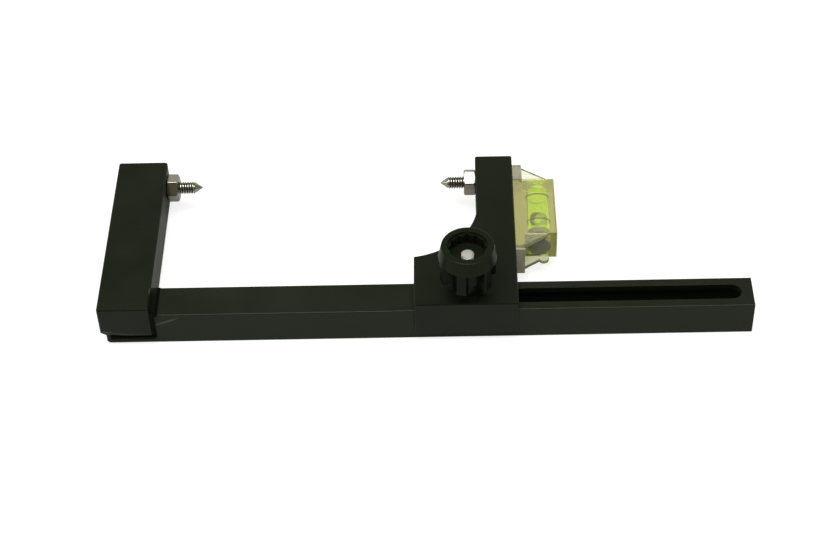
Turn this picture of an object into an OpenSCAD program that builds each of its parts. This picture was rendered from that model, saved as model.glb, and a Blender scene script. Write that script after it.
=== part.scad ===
// Rowing pitch meter: a slotted square bar with a fixed arm, and a carriage that slides along the bar
// and clamps on it. Each arm carries a cone point, and the carriage's arm carries a spirit level.
// Millimetres. The origin is the middle of the bar's underside, +X runs along the bar towards its free
// end, +Y points along the arms, and +Z up.

/* [Bar] */
// Length of the bar
bar_length = 317.5; // [280:0.5:400]
// Width and height of the square bar
bar_width = 19.05; // [18:0.05:22]
// Wall of the square bar
bar_wall = 3.175; // [2.5:0.025:3.5]
// Radius of the bar's long edges
bar_edge_r = 0.6; // [0.4:0.1:1.2]
// Bevel at the bar's end under the fixed arm
bar_end_bevel = 1.6; // [0.4:0.1:2]
// Width of the slot in the bar's top
slot_width = 9.525; // [8.5:0.025:10.5]
// Distance from the bar's middle to the slot's near end
slot_start = 2.05; // [0:0.05:2.2]
// Metal left between the slot and the bar's free end
slot_margin = 5.7; // [4:0.1:9]

/* [Arms] */
// Thickness of both arms
arm_thickness = 19.05; // [17:0.05:22]
// Distance from the bar's middle line to the arms' tips
arm_reach = 95.5; // [90:0.5:115]
// Width of the fixed arm
fixed_arm_width = 25.4; // [20:0.1:32]
// How far the fixed arm stands past the bar's end
fixed_arm_overhang = 2.3; // [1.5:0.1:4]
// Thickness of the lips in front of the bar
lip = 2.4; // [2:0.1:4]
// Depth of the channels that fit over the bar
channel_depth = 12.7; // [10:0.1:14]
// Radius of the arms' corners seen from above
corner_r = 1; // [0.5:0.1:2]
// Bevel along the arms' top and bottom edges
edge_bevel = 0.4; // [0.2:0.1:0.8]
// Bevel along the fixed arm's lower outer edge
under_bevel = 2.2; // [1:0.1:3]
// Height of the skew flat on the fixed arm's lower outer corner
corner_rise = 5.2; // [3:0.1:6]
// Slope of the skew flat along the front
corner_slope = 12; // [10:0.5:20]
// Tilt of the skew flat under the front
corner_tilt = 23; // [18:0.5:24]
// Radius of the bead that joins the fixed arm to the bar
bead_r = 4.8; // [3.5:0.1:5.5]
// Radius of the small bead under the fixed arm's lip
lip_bead_r = 1.6; // [1:0.1:2]

/* [Carriage] */
// Distance from the bar's middle to the clamp stud
carriage_x = 19.6; // [16:0.2:120]
// Length of the carriage along the bar
carriage_length = 50.8; // [46:0.2:64]
// Distance from the stud to the carriage's right side
carriage_right = 24.4; // [20:0.2:30]
// Width of the carriage's arm
carriage_arm_width = 19.05; // [16:0.05:24]
// Where the hollow curve meets the carriage's left side, from the bar's middle line
shoulder_y = 21.9; // [16:0.1:26]
// Radius of the hollow curve between the carriage's block and arm
hollow_r = 38.1; // [34:0.1:60]
// Where the hollow curve meets the carriage's arm, from the bar's middle line
hollow_top_y = 53.7; // [50:0.1:58]
// Gap between the carriage and the bar's sides
slide_gap = 0.1; // [0.05:0.01:0.2]
// Gap between the carriage and the bar's top
seat_gap = 0.05; // [0.02:0.01:0.1]

/* [Points] */
// Radius of the point screws
screw_r = 3.175; // [2.8:0.025:4]
// Length of the fixed arm's point screw
screw_length = 31.75; // [28:0.25:34]
// Length of the carriage's point screw
short_screw_length = 25.4; // [23:0.1:26]
// Depth of the carriage's blind hole for its point screw
blind_depth = 12; // [10:0.1:12]
// How far each point stands out of its arm
point_reach = 18.2; // [14:0.1:22]
// Length of the cone on a point screw
cone_length = 4.3; // [3:0.1:6]
// Distance from the points to the arms' tips
point_inset = 9.8; // [8:0.1:16]
// Width across flats of the lock nuts
nut_flats = 12.7; // [11:0.1:14]
// Thickness of the lock nuts
nut_thickness = 5.95; // [4:0.05:7]
// Radial clearance of threads
thread_gap = 0.05; // [0.02:0.01:0.08]
// Width across flats of the key socket in the screws
key_flats = 3.175; // [2.5:0.025:3.5]
// Depth of the key socket
key_depth = 3.2; // [2:0.1:5]

/* [Clamp] */
// Radius of the clamp stud
stud_r = 3.175; // [2.8:0.025:3.4]
// Length of the sliding block in the bar
block_length = 25.4; // [20:0.1:32]
// Thickness of the sliding block
block_thickness = 9.4; // [7:0.1:10]
// Length of the block's neck in the slot
neck_length = 14; // [11:0.1:20]
// Side clearance of the block and its neck
block_gap = 0.2; // [0.1:0.01:0.4]
// Radius of the washer under the knob
washer_r = 7.9; // [7:0.1:10]
// Thickness of the washer
washer_thickness = 1; // [0.5:0.1:2]

/* [Knob] */
// Height of the knob
knob_height = 27.2; // [25:0.1:34]
// Radius of the knob's band at its lower edge
band_r = 14.2; // [13.9:0.1:18]
// Radius of the knob's band at its top
band_top_r = 12.7; // [11.6:0.1:13.8]
// Height of the knob's band
band_height = 7.6; // [7.3:0.1:10]
// Rounding of the band's top edge
band_round = 0.4; // [0.2:0.1:0.8]
// Radius of the recess in the knob's top
recess_r = 9.7; // [9.2:0.1:10.8]
// Depth of the recess
recess_depth = 7; // [5:0.1:7.2]
// Depth of the plain rim above the scallops
rim_depth = 1.4; // [1:0.1:3]
// How far the stud stands out of the recess's floor
stud_show = 1.5; // [0.5:0.1:3]
// Number of scallops round the recess
scallops = 12; // [8:1:16]
// Number of ribs under the band
ribs = 6; // [4:1:8]
// Width of a rib
rib_width = 4.7; // [3.5:0.1:5.5]
// Distance from the knob's axis to the ribs' outer faces
rib_reach = 13.6; // [12:0.1:13.6]
// Rounding of the ribs' lower outer corners
rib_round = 1; // [0.4:0.1:2]
// Length of the ribs below the band
rib_length = 13.6; // [10:0.1:16]
// Radius of the knob's core
core_r = 8.6; // [8:0.1:9.6]
// Radius of the knob's foot
foot_r = 7.6; // [6.8:0.1:9]
// Height of the knob's foot
foot_height = 6.5; // [4:0.1:9]
// Radius of the brass insert
insert_r = 4.75; // [4.2:0.05:5.5]
// Length of the brass insert
insert_length = 12; // [9:0.1:16]

/* [Level] */
// Length of the level's flange
flange_length = 62.7; // [58:0.1:68]
// Thickness of the flange
flange_thickness = 4.7; // [3:0.1:6]
// Height of the level
level_height = 17.1; // [15:0.1:19]
// Length of the level's block
vial_block_length = 40; // [38:0.5:44]
// Width of the level's block out of the flange
vial_block_width = 16.4; // [15:0.1:20]
// Distance from the flange's face to the chamber's axis
chamber_out = 7.6; // [7:0.1:8.5]
// Distance from the bar's middle line to the level's middle
level_y = 57.9; // [54:0.1:62]
// Radius of the vial's chamber
chamber_r = 5.2; // [4.5:0.05:6]
// Wall left at the chamber's far end
chamber_end_wall = 2; // [1.5:0.1:4]
// Thickness of the webs between flange and block
web_thickness = 2; // [1.2:0.1:3]
// How far the webs run along the flange
web_run = 8.5; // [5:0.1:10]
// How far the webs run out along the block
web_out = 12.4; // [8:0.1:15]
// Radius of the small nib beside the lower near web
nib_r = 2.6; // [1.5:0.1:3.5]
// Radius of the level screws' shanks
level_screw_r = 1.75; // [1.5:0.05:2]
// Radius of the level screws' heads
level_head_r = 3.4; // [3:0.1:4]
// Length of the level screws
level_screw_length = 9.5; // [8:0.1:10]
// Distance from the flange's ends to the level screws
level_screw_inset = 5.4; // [4.5:0.1:6.2]
// Clearance round the level screws' heads
head_gap = 0.05; // [0.02:0.01:0.1]
// Distance between the vial's two rings
ring_spacing = 18; // [14:0.1:18.6]
// Thickness of the rings
ring_wire = 0.45; // [0.3:0.05:0.8]
// Length of the plug inside the chamber
plug_length = 5; // [4:0.1:7]
// Radius of the plug's head
plug_head_r = 5.5; // [5.3:0.05:6.4]
// Thickness of the plug's head
plug_head = 1.2; // [0.8:0.1:2]
// Length of the bubble
bubble_length = 11; // [8:0.5:14]
// Radius of the bubble
bubble_r = 4.1; // [3:0.1:4.6]

/* [Hidden] */
eps = 0.01;
seam = 0.05;
run_gap = 0.02;
through = 400;
bar_half = bar_width / 2;
bar_top = bar_width;
arm_base = bar_top - channel_depth;
arm_mid = arm_base + arm_thickness / 2;
arm_top = arm_base + arm_thickness;
front_y = -bar_half - lip;
fixed_left = -bar_length / 2 - fixed_arm_overhang;
fixed_right = fixed_left + fixed_arm_width;
slot_right = bar_length / 2 - slot_margin;
slot_left = slot_start;
carriage_left = carriage_x + carriage_right - carriage_length;
carriage_end = carriage_x + carriage_right;
carriage_arm_left = carriage_end - carriage_arm_width;
point_y = arm_reach - point_inset;
point_r = screw_r + thread_gap;
cavity = bar_width - 2 * bar_wall;
block_top = bar_top - bar_wall - seat_gap;
nut_r = nut_flats / 2 / cos(30);
washer_base = arm_top + seat_gap;
knob_base = washer_base + washer_thickness + run_gap;
band_base = knob_base + knob_height - band_height;
floor_z = knob_base + knob_height - recess_depth;
stud_top = floor_z + stud_show;
stud_bottom = block_top - block_thickness + 1;
level_base = arm_mid + seat_gap - level_height / 2;
level_top = level_base + level_height;
flange_x = carriage_end + flange_thickness;
block_x = flange_x + vial_block_width;
chamber_x = flange_x + chamber_out;
chamber_z = (level_base + level_top) / 2;
block_near = level_y - vial_block_length / 2;
block_far = level_y + vial_block_length / 2;
chamber_far = block_far - chamber_end_wall;
plug_end = block_near + plug_length;
ring_mid = (plug_end + chamber_far) / 2;
level_screw_y = flange_length / 2 - level_screw_inset;
seal_wire = 0.9;
seal_y = block_near + plug_length / 2;

// What a bevel takes off a straight edge from a to b; the edge runs along X or Y
module bevel_cut(a, b, bevel) {
    size = bevel * sqrt(2);
    run = b - a;
    translate((a + b) / 2)
        rotate(run[0] != 0 ? [45, 0, 0] : [0, 45, 0])
            cube(run[0] != 0 ? [abs(run[0]) + 2, size, size] : [size, abs(run[1]) + 2, size], center = true);
}

// Straight bar along X between two ends, with round long edges
module square_bar(x0, x1, side, r) {
    translate([x0, 0, side / 2]) rotate([90, 0, 90])
        linear_extrude(x1 - x0) union() {
            square([side - 2 * r, side], center = true);
            square([side, side - 2 * r], center = true);
            for (sx = [-1, 1], sy = [-1, 1])
                translate([sx * (side / 2 - r), sy * (side / 2 - r)]) circle(r, $fn = 32);
        }
}

// Round ended outline along X
module stadium(x0, x1, width) {
    translate([x0 + width / 2, -width / 2]) square([x1 - x0 - width, width]);
    for (x = [x0 + width / 2, x1 - width / 2]) translate([x, 0]) circle(width / 2, $fn = 48);
}

module bar() {
    left = -bar_length / 2;
    color([0.16, 0.17, 0.16]) difference() {
        square_bar(-bar_length / 2, bar_length / 2, bar_width, bar_edge_r);
        translate([0, 0, bar_wall + cavity / 2])
            cube([bar_length + 2, cavity, cavity], center = true);
        translate([0, 0, bar_top - bar_wall - 1])
            linear_extrude(bar_wall + 2) stadium(slot_left, slot_right, slot_width);
        bevel_cut([left, -bar_half, 0], [left, bar_half, 0], bar_end_bevel);
    }
}

// Outline of a straight arm from above, with rounded corners
module arm_outline(x0, x1, y0, y1, r) {
    translate([x0 + r, y0]) square([x1 - x0 - 2 * r, y1 - y0]);
    translate([x0, y0 + r]) square([x1 - x0, y1 - y0 - 2 * r]);
    for (x = [x0 + r, x1 - r], y = [y0 + r, y1 - r]) translate([x, y]) circle(r, $fn = 32);
}

// Room that the bar takes in a channel, from x0 on to the right
module channel(x0, x1, side_gap, top_gap) {
    translate([x0, -bar_half - side_gap, arm_base - 1])
        cube([x1 - x0, bar_width + 2 * side_gap, channel_depth + 1 + top_gap]);
}

// The fixed arm's rounded lower front edge: what is taken off it
module lip_cut() {
    translate([fixed_left - 1, front_y - 1, arm_base - 1]) difference() {
        cube([fixed_arm_width + 2, lip + 1, lip + 1]);
        translate([-1, lip + 1, lip + 1]) rotate([0, 90, 0])
            cylinder(h = fixed_arm_width + 4, r = lip, $fn = 48);
    }
}

// The skew flat on the fixed arm's lower outer corner: what is taken off it
module corner_cut() {
    translate([fixed_left, front_y, arm_base + corner_rise]) rotate([0, corner_slope, 0])
        rotate([corner_tilt, 0, 0]) translate([-20, -20, -30]) cube([80, 20, 60]);
}

module fixed_arm() {
    color([0.15, 0.16, 0.15]) difference() {
        translate([0, 0, arm_base]) linear_extrude(arm_thickness)
            arm_outline(fixed_left, fixed_right, front_y, arm_reach, corner_r);
        channel(-bar_length / 2, fixed_right + 1, 0, 0);
        translate([fixed_left, point_y, arm_mid]) rotate([0, 90, 0])
            cylinder(h = through, r = point_r, center = true, $fn = 48);
        bevel_cut([fixed_left, front_y, arm_top], [fixed_left, arm_reach, arm_top], edge_bevel);
        bevel_cut([fixed_right, front_y, arm_top], [fixed_right, arm_reach, arm_top], edge_bevel);
        bevel_cut([fixed_right, bar_half, arm_base], [fixed_right, arm_reach, arm_base], edge_bevel);
        bevel_cut([fixed_left, front_y, arm_base], [fixed_left, arm_reach, arm_base], under_bevel);
        bevel_cut([fixed_left, front_y, arm_top], [fixed_right, front_y, arm_top], edge_bevel);
        bevel_cut([fixed_left, arm_reach, arm_top], [fixed_right, arm_reach, arm_top], edge_bevel);
        bevel_cut([fixed_left, arm_reach, arm_base], [fixed_right, arm_reach, arm_base], edge_bevel);
        lip_cut();
        corner_cut();
    }
}

// The bead follows the corner between the arm and the bar, and is cut by both of them
module bead_run(a, b) {
    translate(a) sphere(bead_r + seam, $fn = 32);
    d = b - a;
    translate(a) rotate([0, acos(d[2] / norm(d)), atan2(d[1], d[0])])
        cylinder(h = norm(d), r = bead_r, $fn = 32);
    translate(b) sphere(bead_r + seam, $fn = 32);
}

module weld_bead() {
    low = arm_base + lip;
    corners = [[fixed_right, bar_half, low], [fixed_right, bar_half, bar_top],
               [fixed_right, -bar_half, bar_top], [fixed_right, -bar_half, low]];
    color([0.13, 0.14, 0.13]) difference() {
        union() {
            for (i = [0 : 2]) bead_run(corners[i], corners[i + 1]);
            translate([-bar_length / 2 + bar_end_bevel, -bar_half, arm_base]) rotate([0, 90, 0])
                cylinder(h = fixed_right + bar_length / 2 - bar_end_bevel, r = lip_bead_r, $fn = 32);
        }
        translate([fixed_left - bead_r, front_y - bead_r, arm_base])
            cube([fixed_arm_width + bead_r, arm_reach + bead_r, arm_thickness]);
        translate([fixed_left - bead_r, front_y - 2 * bead_r, 0])
            cube([fixed_arm_width + 3 * bead_r, 2 * bead_r, arm_top]);
        translate([-bar_length / 2 - bead_r, -bar_half, 0]) cube([bar_length, bar_width, bar_width]);
    }
}

// Middle of the hollow curve, from the two places where it starts and ends
hollow_a = [carriage_left, shoulder_y];
hollow_b = [carriage_arm_left, hollow_top_y];
hollow_half = norm(hollow_b - hollow_a) / 2;
hollow_side = [hollow_a[1] - hollow_b[1], hollow_b[0] - hollow_a[0]] / (2 * hollow_half);
hollow_mid = (hollow_a + hollow_b) / 2 + hollow_side * sqrt(hollow_r * hollow_r - hollow_half * hollow_half);

// The hollow between the carriage's block and arm, with a bevel at its top and bottom edges
module hollow_cut(base, top) {
    intersection() {
        translate([hollow_mid[0], hollow_mid[1], 0]) rotate_extrude($fn = 180)
            polygon([[0, base - edge_bevel], [hollow_r + 2 * edge_bevel, base - edge_bevel],
                     [hollow_r, base + edge_bevel], [hollow_r, top - edge_bevel],
                     [hollow_r + 2 * edge_bevel, top + edge_bevel], [0, top + edge_bevel]]);
        translate([carriage_left - 1, shoulder_y - 2, base - 1])
            cube([carriage_arm_left - carriage_left + 1, hollow_top_y - shoulder_y + 2 + eps, top - base + 2]);
    }
    translate([carriage_left - 1, hollow_top_y, base - 1])
        cube([carriage_arm_left - carriage_left + 1, arm_reach, top - base + 2]);
}

module carriage() {
    base = arm_base + seat_gap;
    top = arm_top + seat_gap;
    color([0.17, 0.18, 0.17]) difference() {
        translate([0, 0, base]) linear_extrude(arm_thickness)
            arm_outline(carriage_left, carriage_end, front_y, arm_reach, corner_r);
        hollow_cut(base, top);
        channel(carriage_left - 1, carriage_end + 1, slide_gap, seat_gap);
        for (z = [base, top]) {
            bevel_cut([carriage_left, front_y, z], [carriage_end, front_y, z], edge_bevel);
            bevel_cut([carriage_arm_left, arm_reach, z], [carriage_end, arm_reach, z], edge_bevel);
            bevel_cut([carriage_end, front_y, z], [carriage_end, arm_reach, z], edge_bevel);
            bevel_cut([carriage_left, front_y, z], [carriage_left, shoulder_y, z], edge_bevel);
            bevel_cut([carriage_arm_left, hollow_top_y + 1.5, z], [carriage_arm_left, arm_reach, z], edge_bevel);
        }
        translate([carriage_x, 0, 0]) cylinder(h = through, r = stud_r + block_gap, $fn = 48);
        translate([carriage_arm_left - 1, point_y, arm_mid + seat_gap]) rotate([0, 90, 0])
            cylinder(h = blind_depth + 1, r = point_r, $fn = 48);
        for (s = [-1, 1]) translate([carriage_end + 1, level_y + s * level_screw_y, chamber_z])
            rotate([0, -90, 0])
                cylinder(h = level_screw_length - flange_thickness + 1.3, r = level_screw_r + thread_gap, $fn = 32);
    }
}

// Cone-point set screw along +X, with its tip at the origin
module point_screw(length) {
    difference() {
        rotate([0, -90, 0]) rotate_extrude($fn = 48)
            polygon([[0, 0], [screw_r, cone_length], [screw_r, length - 0.6],
                     [screw_r - 0.6, length], [0, length]]);
        translate([-length - eps, 0, 0]) rotate([0, 90, 0])
            cylinder(h = key_depth, r = key_flats / 2 / cos(30), $fn = 6);
    }
}

module fixed_point() {
    color([0.72, 0.72, 0.68]) translate([fixed_right + point_reach, point_y, arm_mid])
        point_screw(screw_length);
}

module carriage_point() {
    color([0.72, 0.72, 0.68]) translate([carriage_arm_left - point_reach, point_y, arm_mid + seat_gap])
        mirror([1, 0, 0]) point_screw(short_screw_length);
}

// Hex nut along +X with bevelled corners, its seat at the origin
module lock_nut() {
    bevel = (nut_r - nut_flats / 2) * 0.6;
    difference() {
        intersection() {
            rotate([0, 90, 0]) cylinder(h = nut_thickness, r = nut_r, $fn = 6);
            rotate([0, 90, 0]) rotate_extrude($fn = 64)
                polygon([[0, 0], [nut_flats / 2, 0], [nut_r, bevel], [nut_r, nut_thickness - bevel],
                         [nut_flats / 2, nut_thickness], [0, nut_thickness]]);
        }
        rotate([0, 90, 0]) cylinder(h = through, r = point_r, center = true, $fn = 48);
    }
}

module fixed_lock_nut() {
    color([0.6, 0.59, 0.54]) translate([fixed_right + seat_gap, point_y, arm_mid])
        rotate([17.5, 0, 0]) lock_nut();
}

module carriage_lock_nut() {
    color([0.66, 0.65, 0.6]) translate([carriage_arm_left - seat_gap, point_y, arm_mid + seat_gap])
        mirror([1, 0, 0]) rotate([-6, 0, 0]) lock_nut();
}

module t_nut() {
    color([0.5, 0.5, 0.5]) translate([carriage_x, 0, 0]) difference() {
        union() {
            translate([-block_length / 2, -cavity / 2 + block_gap, block_top - block_thickness])
                cube([block_length, cavity - 2 * block_gap, block_thickness]);
            translate([0, 0, block_top - eps]) linear_extrude(bar_wall - 0.5)
                stadium(-neck_length / 2, neck_length / 2, slot_width - 2 * block_gap);
        }
        cylinder(h = through, r = stud_r + thread_gap, center = true, $fn = 48);
    }
}

module clamp_stud() {
    color([0.8, 0.8, 0.78]) translate([carriage_x, 0, stud_bottom])
        rotate_extrude($fn = 48)
            polygon([[0, 0], [stud_r - 0.5, 0], [stud_r, 0.5], [stud_r, stud_top - stud_bottom - 0.3],
                     [stud_r - 0.3, stud_top - stud_bottom], [0, stud_top - stud_bottom]]);
}

module knob_washer() {
    color([0.1, 0.1, 0.1]) translate([carriage_x, 0, washer_base]) difference() {
        cylinder(h = washer_thickness, r = washer_r, $fn = 64);
        translate([0, 0, -1]) cylinder(h = washer_thickness + 2, r = stud_r + block_gap, $fn = 48);
    }
}

// Section of the knob's solid body, turned about the knob's axis
module knob_section() {
    top = knob_height;
    low = knob_height - band_height;
    lean = atan((band_r - band_top_r) / band_height);
    polygon(concat(
        [[0, 0], [foot_r, 0], [foot_r, foot_height], [core_r, foot_height + 1], [core_r, low], [band_r, low]],
        [for (i = [0 : 4]) let (a = lean + i * (90 - lean) / 4)
            [band_top_r - band_round * (1 - cos(a)), top - band_round * (1 - sin(a))]],
        [[0, top]]));
}

// Outline of a rib from its side, from the core out
module rib_outline() {
    low = knob_height - band_height;
    foot = low - rib_length;
    translate([core_r - 2, foot]) square([rib_reach - rib_round - core_r + 2, rib_length + 1]);
    translate([core_r - 2, foot + rib_round]) square([rib_reach - core_r + 2, rib_length + 1 - rib_round]);
    translate([rib_reach - rib_round, foot + rib_round]) circle(rib_round, $fn = 32);
}

module knob() {
    recess_wall = recess_r - 1.2;
    color([0.12, 0.13, 0.12]) translate([carriage_x, 0, knob_base]) difference() {
        union() {
            rotate_extrude($fn = 96) knob_section();
            for (i = [0 : ribs - 1]) rotate([0, 0, 16 + i * 360 / ribs])
                translate([0, rib_width / 2, 0]) rotate([90, 0, 0]) linear_extrude(rib_width) rib_outline();
        }
        translate([0, 0, knob_height - rim_depth]) cylinder(h = rim_depth + 1, r = recess_r, $fn = 64);
        translate([0, 0, knob_height - recess_depth]) linear_extrude(recess_depth) {
            circle(recess_wall, $fn = 64);
            for (i = [0 : scallops - 1]) rotate(i * 360 / scallops)
                translate([recess_wall - 0.3, 0]) circle(1.2, $fn = 24);
        }
        cylinder(h = through, r = stud_r + block_gap, center = true, $fn = 48);
        translate([0, 0, -1]) cylinder(h = insert_length + 1, r = insert_r + eps, $fn = 48);
    }
}

module knob_insert() {
    color([0.75, 0.6, 0.3]) translate([carriage_x, 0, knob_base + 0.1]) difference() {
        cylinder(h = insert_length - 0.1, r = insert_r, $fn = 48);
        translate([0, 0, -1]) cylinder(h = insert_length + 2, r = stud_r + thread_gap, $fn = 48);
    }
}

// Triangular web at one end of the level, from the flange to the block
module level_web(side) {
    translate([flange_x - eps, level_y + side * (vial_block_length / 2 - eps)])
        polygon(side > 0 ? [[0, 0], [web_out, 0], [0, web_run]] : [[0, 0], [0, -web_run], [web_out, 0]]);
}

// The two screws' places on the flange
module at_level_screws() {
    for (s = [-1, 1]) translate([flange_x, level_y + s * level_screw_y, chamber_z])
        rotate([0, -90, 0]) children();
}

module level_housing() {
    color([0.75, 0.76, 0.5, 0.45]) difference() {
        union() {
            translate([carriage_end, level_y - flange_length / 2, level_base])
                cube([flange_thickness, flange_length, level_height]);
            translate([flange_x - eps, block_near, level_base])
                cube([vial_block_width + eps, vial_block_length, level_height]);
            for (z = [level_base, level_top - web_thickness], side = [-1, 1])
                translate([0, 0, z]) linear_extrude(web_thickness) level_web(side);
            translate([flange_x + web_out - nib_r, block_near - web_run / 4, level_base])
                cylinder(h = web_thickness, r = nib_r, $fn = 32);
        }
        translate([chamber_x, block_near - 1, chamber_z]) rotate([-90, 0, 0])
            cylinder(h = chamber_far - chamber_r - block_near + 1, r = chamber_r, $fn = 64);
        translate([chamber_x, chamber_far - chamber_r, chamber_z]) sphere(chamber_r, $fn = 64);
        at_level_screws() {
            translate([0, 0, -1]) cylinder(h = flange_thickness + 2, r = level_screw_r + block_gap, $fn = 32);
            translate([0, 0, -eps])
                cylinder(h = level_head_r - level_screw_r, r1 = level_head_r, r2 = level_screw_r, $fn = 32);
        }
    }
}

module level_screws() {
    color([0.45, 0.45, 0.43]) at_level_screws() {
        difference() {
            union() {
                cylinder(h = level_screw_length, r = level_screw_r, $fn = 32);
                translate([0, 0, head_gap])
                    cylinder(h = level_head_r - level_screw_r, r1 = level_head_r - 3 * head_gap,
                             r2 = level_screw_r - 3 * head_gap, $fn = 32);
            }
            translate([0, 0, 0.8]) cube([0.8, 2 * level_head_r, 1.7], center = true);
        }
    }
}

module vial_fluid() {
    fluid_r = chamber_r - thread_gap;
    color([0.75, 0.87, 0.2, 0.7]) difference() {
        union() {
            translate([chamber_x, plug_end + seat_gap, chamber_z]) rotate([-90, 0, 0])
                cylinder(h = chamber_far - chamber_r - plug_end - seat_gap, r = fluid_r, $fn = 64);
            translate([chamber_x, chamber_far - chamber_r, chamber_z]) sphere(fluid_r, $fn = 64);
        }
        translate([chamber_x, plug_end + 0.5 + bubble_r, chamber_z + fluid_r - bubble_r]) {
            sphere(bubble_r, $fn = 48);
            rotate([-90, 0, 0]) cylinder(h = bubble_length - 2 * bubble_r, r = bubble_r, $fn = 48);
            translate([0, bubble_length - 2 * bubble_r, 0]) sphere(bubble_r, $fn = 48);
        }
        ring_pair(ring_wire + 2 * thread_gap, chamber_r - ring_wire - thread_gap, chamber_r + 1);
    }
}

// The two reading rings, or the grooves for them when they are made wider
module ring_pair(width, inner, outer) {
    for (s = [-1, 1]) translate([chamber_x, ring_mid + s * ring_spacing / 2 - width / 2, chamber_z])
        rotate([-90, 0, 0]) difference() {
            cylinder(h = width, r = outer, $fn = 64);
            translate([0, 0, -1]) cylinder(h = width + 2, r = inner, $fn = 64);
        }
}

module vial_rings() {
    color([0.15, 0.17, 0.08]) ring_pair(ring_wire, chamber_r - ring_wire, chamber_r - eps);
}

module vial_plug() {
    color([0.62, 0.62, 0.58]) translate([chamber_x, block_near, chamber_z]) rotate([-90, 0, 0]) difference() {
        union() {
            translate([0, 0, -plug_head]) cylinder(h = plug_head, r = plug_head_r, $fn = 64);
            translate([0, 0, -eps]) cylinder(h = plug_length, r = chamber_r - thread_gap, $fn = 64);
        }
        translate([0, 0, seal_y - block_near - seal_wire / 2]) difference() {
            cylinder(h = seal_wire, r = chamber_r + 1, $fn = 64);
            translate([0, 0, -1]) cylinder(h = seal_wire + 2, r = chamber_r - seal_wire, $fn = 64);
        }
    }
}

module plug_seal() {
    color([0.1, 0.1, 0.1]) translate([chamber_x, seal_y, chamber_z]) rotate([-90, 0, 0])
        rotate_extrude($fn = 64) translate([chamber_r - seal_wire / 2, 0])
            circle(seal_wire / 2 - eps, $fn = 24);
}

bar();
fixed_arm();
weld_bead();
carriage();
fixed_point();
fixed_lock_nut();
carriage_point();
carriage_lock_nut();
t_nut();
clamp_stud();
knob_washer();
knob();
knob_insert();
level_housing();
level_screws();
vial_fluid();
vial_rings();
vial_plug();
plug_seal();
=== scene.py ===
import math
import bpy
import bmesh
from mathutils import Matrix, Vector


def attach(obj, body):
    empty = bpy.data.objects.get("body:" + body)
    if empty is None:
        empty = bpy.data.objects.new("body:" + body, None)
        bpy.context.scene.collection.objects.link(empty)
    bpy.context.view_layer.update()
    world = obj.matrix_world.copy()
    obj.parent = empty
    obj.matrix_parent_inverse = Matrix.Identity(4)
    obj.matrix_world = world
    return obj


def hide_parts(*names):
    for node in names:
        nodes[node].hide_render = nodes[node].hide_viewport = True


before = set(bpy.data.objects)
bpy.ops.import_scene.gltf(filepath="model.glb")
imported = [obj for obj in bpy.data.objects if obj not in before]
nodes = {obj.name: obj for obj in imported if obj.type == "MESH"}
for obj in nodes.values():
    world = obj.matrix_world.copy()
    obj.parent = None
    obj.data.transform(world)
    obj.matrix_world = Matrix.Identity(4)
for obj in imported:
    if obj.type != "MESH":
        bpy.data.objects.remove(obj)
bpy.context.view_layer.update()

MM = 0.001


# ---------------------------------------------------------------- camera, floor and light

def camera_at(place, elevation, yaw, roll, lens):
    """Camera in the photograph's place, looking along +Y and down."""
    e, y, r = (math.radians(a) for a in (elevation, yaw, roll))
    ahead = Vector((-math.sin(y) * math.cos(e), math.cos(y) * math.cos(e), -math.sin(e)))
    side = Vector((math.cos(y), math.sin(y), 0))
    up = side.cross(ahead)
    side, up = side * math.cos(r) + up * math.sin(r), up * math.cos(r) - side * math.sin(r)
    data = bpy.data.cameras.new("camera")
    data.sensor_width = 36
    data.lens = lens
    data.clip_start, data.clip_end = 0.05, 20
    cam = bpy.data.objects.new("camera", data)
    bpy.context.scene.collection.objects.link(cam)
    axes = Matrix((side, up, -ahead)).transposed()
    cam.matrix_world = Matrix.Translation(place) @ axes.to_4x4()
    bpy.context.scene.camera = cam


def lamp(name, place, size, power):
    """Soft rectangular light that faces the object."""
    data = bpy.data.lights.new(name, "AREA")
    data.shape = "RECTANGLE"
    data.size, data.size_y = size
    data.energy = power
    obj = bpy.data.objects.new(name, data)
    bpy.context.scene.collection.objects.link(obj)
    obj.location = place
    obj.rotation_euler = (-Vector(place)).to_track_quat("-Z", "Y").to_euler()


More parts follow.
